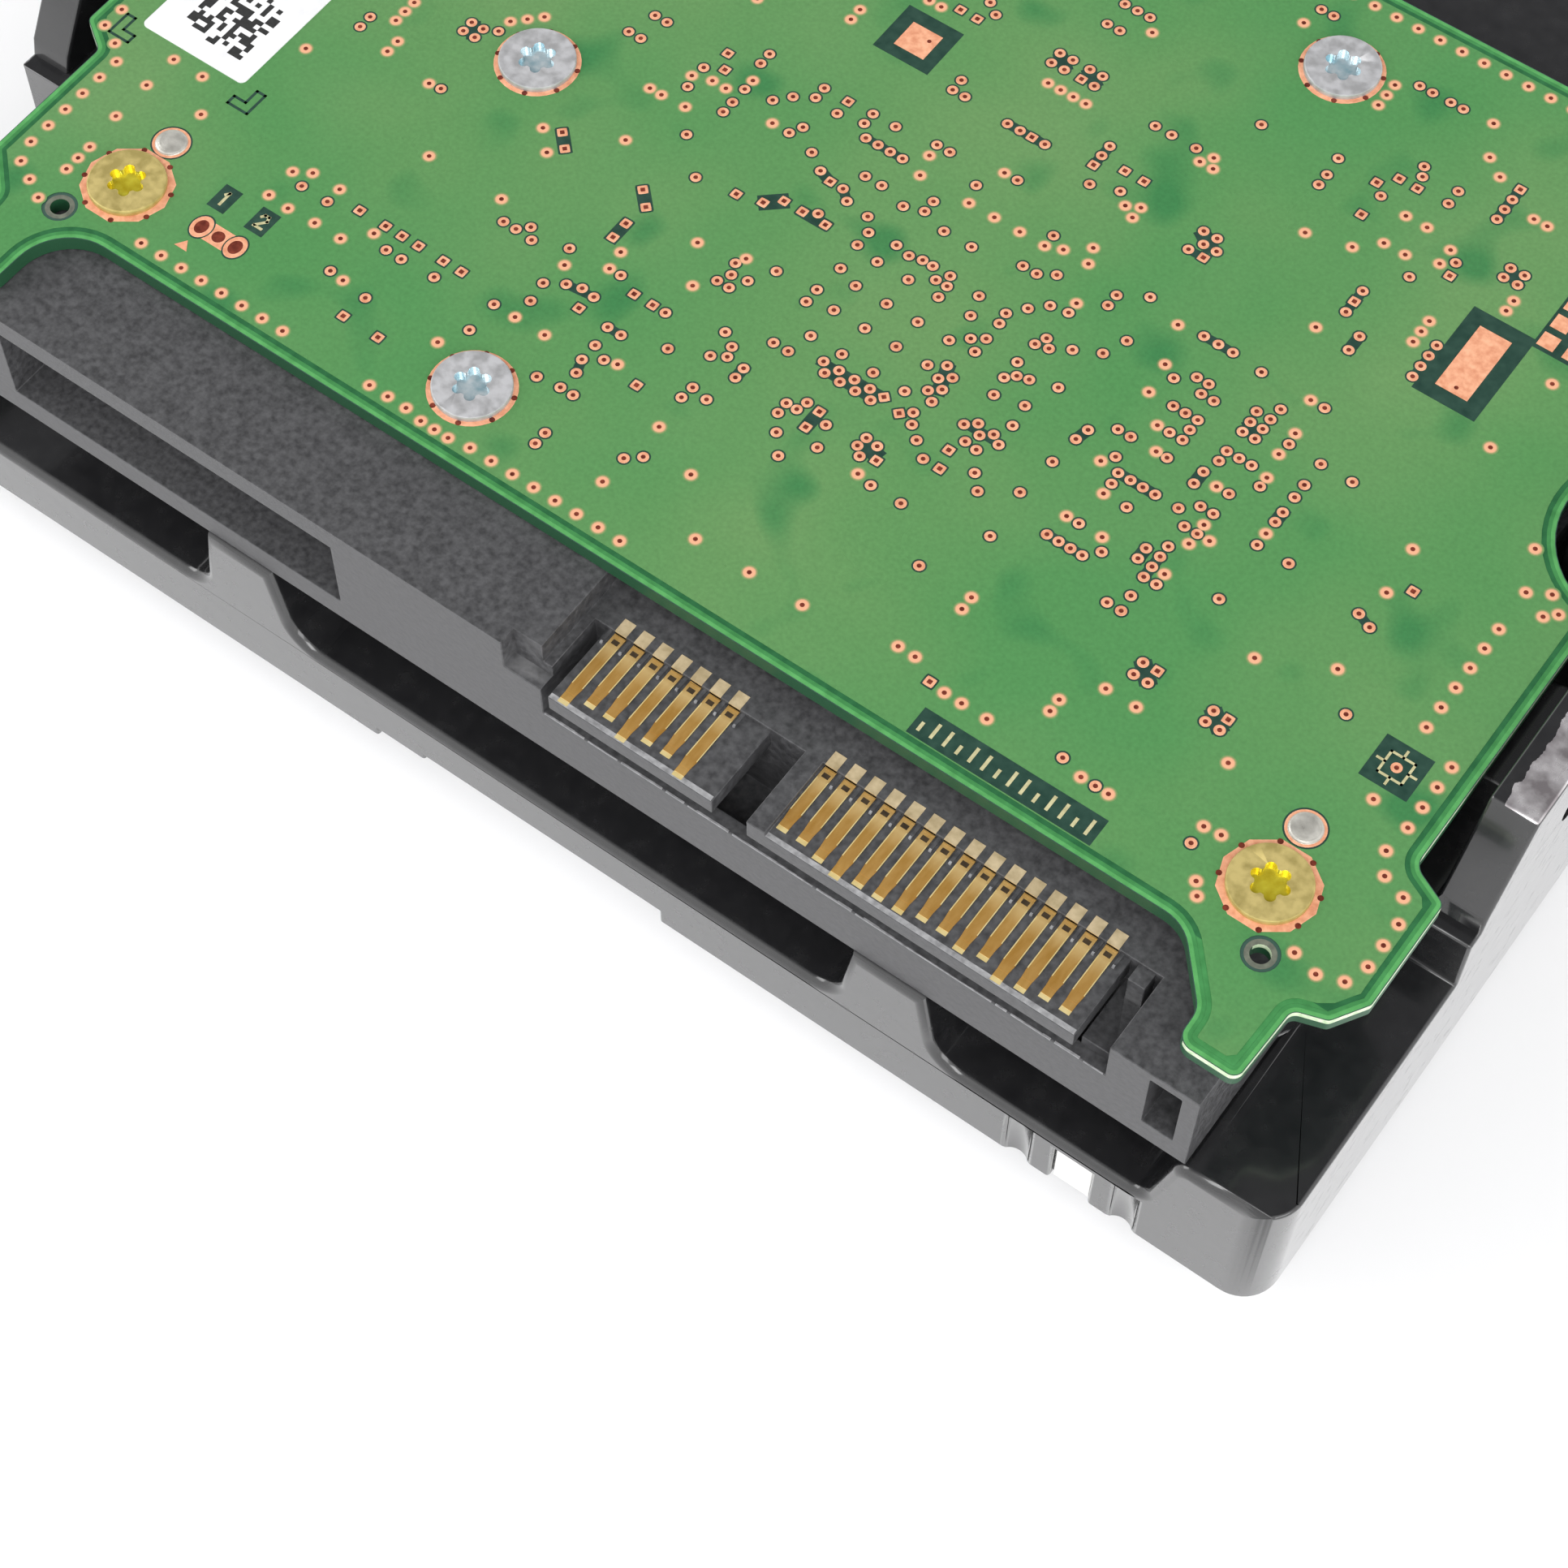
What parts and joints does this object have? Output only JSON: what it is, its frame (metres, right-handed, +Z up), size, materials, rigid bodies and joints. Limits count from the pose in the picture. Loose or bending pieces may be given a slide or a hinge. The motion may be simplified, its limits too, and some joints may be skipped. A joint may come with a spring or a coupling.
{
  "type": "hard disk drive",
  "caption": "3.5-inch hard disk drive lying on its cover, circuit board up, with serial data and power connector, disks on a spindle and a swinging head arm.",
  "frame": {"origin": "middle of the drive's outline on the cover face it rests on", "axes": "+Z up towards the circuit board, +Y along the length away from the connector, +X along the width towards the power contacts"},
  "size_m": [0.1016, 0.147, 0.0261],
  "materials": {
    "casting": "gloss black coated",
    "gasket": "matte",
    "cover_steel": "satin",
    "label_paper": "matte",
    "dark_screw": "satin",
    "board_laminate": "solder mask",
    "zinc_screw": "satin",
    "brass_screw": "satin",
    "housing_plastic": "matte",
    "contact_gold": "polished",
    "chip_epoxy": "matte",
    "component_ceramic": "satin",
    "foam": "matte",
    "black_plastic": "satin",
    "polyimide": "satin",
    "ground_steel": "ground",
    "lamination_steel": "satin",
    "copper_wire": "enamelled",
    "magnet_nickel": "plated",
    "yoke_nickel": "plated",
    "stop_rubber": "matte",
    "white_plastic": "satin",
    "filter_felt": "matte",
    "machined_aluminium": "machined",
    "disk_mirror": "polished",
    "spring_steel": "satin",
    "slider_ceramic": "satin"
  },
  "bodies": {
    "drive": {"base_casting": "casting", "cover_gasket": "gasket", "top_cover": "cover_steel", "cover_label": "label_paper", "cover_screws": "dark_screw", "circuit_board": "board_laminate", "board_screws": "zinc_screw", "connector_screws": "brass_screw", "connector_housing": "housing_plastic", "signal_contacts": "contact_gold", "power_contacts": "contact_gold", "controller_chip": "chip_epoxy", "memory_chip": "chip_epoxy", "motor_driver_chip": "chip_epoxy", "board_components": "component_ceramic", "foam_pad": "foam", "head_connector": "black_plastic", "motor_contacts": "black_plastic", "motor_flex": "polyimide", "board_label": "label_paper", "wall_seal": "label_paper", "spindle_shaft": "ground_steel", "stator_core": "lamination_steel", "stator_windings": "copper_wire", "pivot_shaft": "ground_steel", "lower_magnet": "magnet_nickel", "upper_magnet": "magnet_nickel", "lower_yoke": "yoke_nickel", "upper_yoke": "yoke_nickel", "yoke_posts": "ground_steel", "yoke_screws": "dark_screw", "crash_stops": "stop_rubber", "parking_ramp": "white_plastic", "latch_pin": "ground_steel", "latch_collar": "black_plastic", "air_filter": "filter_felt", "breather_filter": "filter_felt", "head_cable": "polyimide", "cable_bracket": "ground_steel"},
    "disk_pack": {"spindle_hub": "machined_aluminium", "rotor_magnet": "magnet_nickel", "lower_disk": "disk_mirror", "upper_disk": "disk_mirror", "disk_spacer": "machined_aluminium", "disk_clamp": "machined_aluminium", "clamp_screws": "dark_screw"},
    "actuator": {"pivot_bearing": "ground_steel", "actuator_arm": "machined_aluminium", "head_suspensions": "spring_steel", "head_sliders": "slider_ceramic", "coil_frame": "black_plastic", "voice_coil": "copper_wire"},
    "latch": {"arm_latch": "black_plastic"}
  },
  "joints": [
    {"name": "spindle_spin", "type": "hinge", "parent": "drive", "child": "disk_pack", "pos_m": [0, 0.0227, 0.01], "axis": [0, 0, -1], "continuous": true},
    {"name": "actuator_swing", "type": "hinge", "parent": "drive", "child": "actuator", "pos_m": [0.02, -0.0315, 0.008], "axis": [0, 0, -1], "range_deg": [0, 34]},
    {"name": "latch_swing", "type": "hinge", "parent": "drive", "child": "latch", "pos_m": [0.005, -0.05, 0.0065], "axis": [0, 0, 1], "range_deg": [0, 12]}
  ]
}
